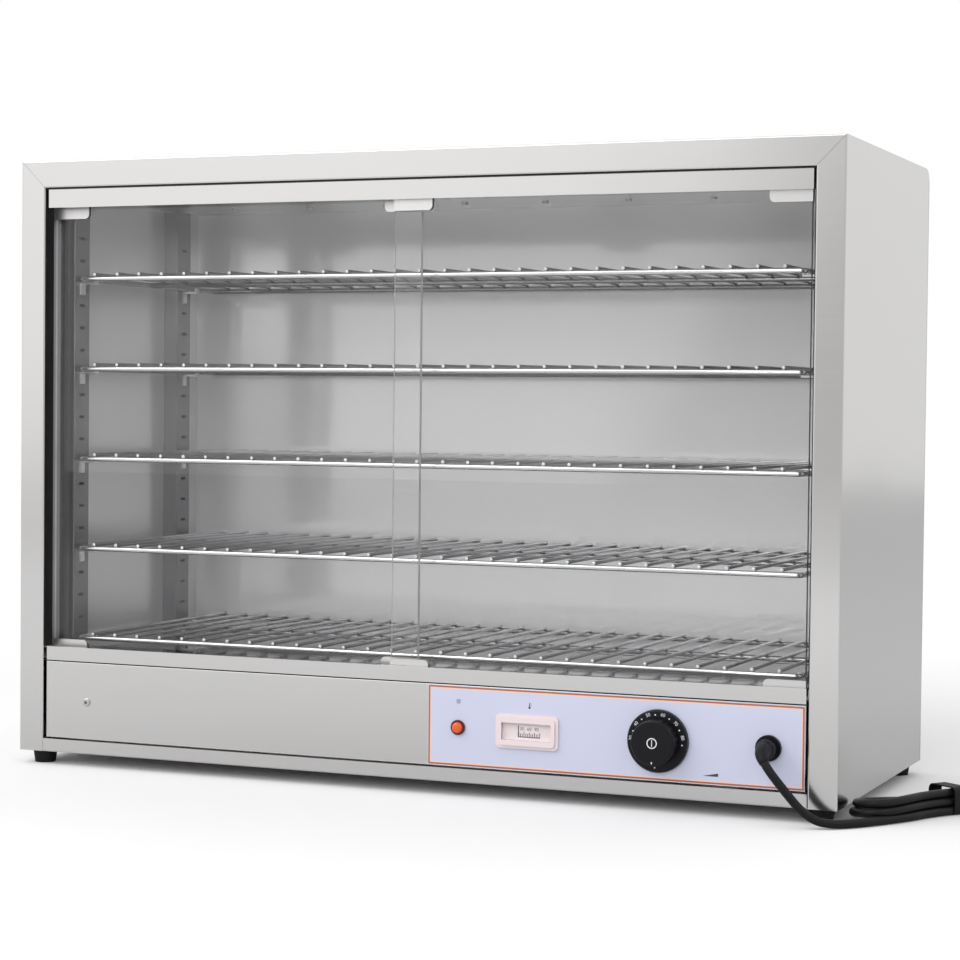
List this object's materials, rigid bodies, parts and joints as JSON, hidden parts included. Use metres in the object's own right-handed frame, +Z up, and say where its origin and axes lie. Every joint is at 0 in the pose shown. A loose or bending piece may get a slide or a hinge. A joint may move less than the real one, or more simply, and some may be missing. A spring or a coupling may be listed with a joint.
{
  "type": "pie warmer",
  "caption": "Counter-top food warming cabinet in folded stainless sheet with wire shelves, sliding glass doors, thermostat knob and mains lead.",
  "frame": {"origin": "centre of the bounding box of the object without its mains lead, at the level of the feet's undersides", "axes": "+X to the right seen from the front, -Y towards the front, +Z up"},
  "size_m": [1.0717, 0.4066, 0.646],
  "materials": {
    "stainless_sheet": "bright polished",
    "liner_sheet": "bright, slightly brushed",
    "pilaster_sheet": "satin",
    "wire": "bright plated wire",
    "clip_sheet": "polished",
    "glass": "clear toughened",
    "overlay": "printed film",
    "black_plastic": "moulded",
    "lens_red": "translucent",
    "bezel_red": "moulded",
    "thermometer_plastic": "moulded",
    "dial_card": "printed",
    "clear_plastic": "clear",
    "plated_steel": "zinc plated",
    "element_sheath": "heat-dulled",
    "nylon": "plain",
    "copper": "drawn tube",
    "rubber": "moulded",
    "cord_pvc": "smooth sheath",
    "brass": "bright"
  },
  "bodies": {
    "cabinet": {"left_side_panel": "stainless_sheet", "right_side_panel": "stainless_sheet", "top_panel": "stainless_sheet", "back_panel": "stainless_sheet", "base_pan": "stainless_sheet", "front_panel": "stainless_sheet", "door_header_track": "stainless_sheet", "door_sill_track": "stainless_sheet", "liner_left": "liner_sheet", "liner_right": "liner_sheet", "liner_back": "liner_sheet", "liner_ceiling": "liner_sheet", "liner_floor": "liner_sheet", "pilaster_front_left": "pilaster_sheet", "pilaster_front_right": "pilaster_sheet", "pilaster_rear_left": "pilaster_sheet", "pilaster_rear_right": "pilaster_sheet", "shelf_clips": "clip_sheet", "sill_glides": "nylon", "control_overlay": "overlay", "control_divider": "plated_steel", "pilot_lamp_body": "bezel_red", "pilot_lamp_lens": "lens_red", "thermometer_case": "thermometer_plastic", "thermometer_dial": "dial_card", "thermometer_window": "clear_plastic", "thermostat_body": "black_plastic", "thermostat_nut": "plated_steel", "thermostat_probe": "copper", "heating_element": "element_sheath", "element_bracket_left": "plated_steel", "element_bracket_right": "plated_steel", "terminal_block": "nylon", "cable_gland": "black_plastic", "cable_gland_nut": "black_plastic", "foot_front_left": "rubber", "foot_front_right": "rubber", "foot_rear_left": "rubber", "foot_rear_right": "rubber", "foot_screws": "plated_steel", "front_panel_screw": "plated_steel", "ceiling_screws": "plated_steel", "rear_screws": "plated_steel", "power_cord_lead": "cord_pvc", "cord_hank": "cord_pvc", "power_cord_tail": "cord_pvc", "cord_tie": "black_plastic", "plug_body": "black_plastic", "plug_pins": "brass"},
    "left_door": {"left_door_glass": "glass", "left_door_clips": "clip_sheet"},
    "right_door": {"right_door_glass": "glass", "right_door_clips": "clip_sheet"},
    "knob": {"thermostat_knob": "black_plastic", "knob_spindle": "plated_steel"},
    "shelf_1": {"wire_shelf_1": "wire"},
    "shelf_2": {"wire_shelf_2": "wire"},
    "shelf_3": {"wire_shelf_3": "wire"},
    "shelf_4": {"wire_shelf_4": "wire"},
    "shelf_5": {"wire_shelf_5": "wire"}
  },
  "joints": [
    {"name": "left_door_slide", "type": "slide", "parent": "cabinet", "child": "left_door", "axis": [1, 0, 0], "range_m": [0, 0.399]},
    {"name": "right_door_slide", "type": "slide", "parent": "cabinet", "child": "right_door", "axis": [1, 0, 0], "range_m": [-0.399, 0]},
    {"name": "knob_turn", "type": "hinge", "parent": "cabinet", "child": "knob", "pos_m": [0.273, -0.1823, 0.069], "axis": [0, 1, 0], "range_deg": [0, 220]},
    {"name": "shelf_1_lift", "type": "slide", "parent": "cabinet", "child": "shelf_1", "axis": [0, 0, 1], "range_m": [0, 0.02]},
    {"name": "shelf_2_lift", "type": "slide", "parent": "cabinet", "child": "shelf_2", "axis": [0, 0, 1], "range_m": [0, 0.02]},
    {"name": "shelf_3_lift", "type": "slide", "parent": "cabinet", "child": "shelf_3", "axis": [0, 0, 1], "range_m": [0, 0.02]},
    {"name": "shelf_4_lift", "type": "slide", "parent": "cabinet", "child": "shelf_4", "axis": [0, 0, 1], "range_m": [0, 0.02]},
    {"name": "shelf_5_lift", "type": "slide", "parent": "cabinet", "child": "shelf_5", "axis": [0, 0, 1], "range_m": [0, 0.02]}
  ]
}
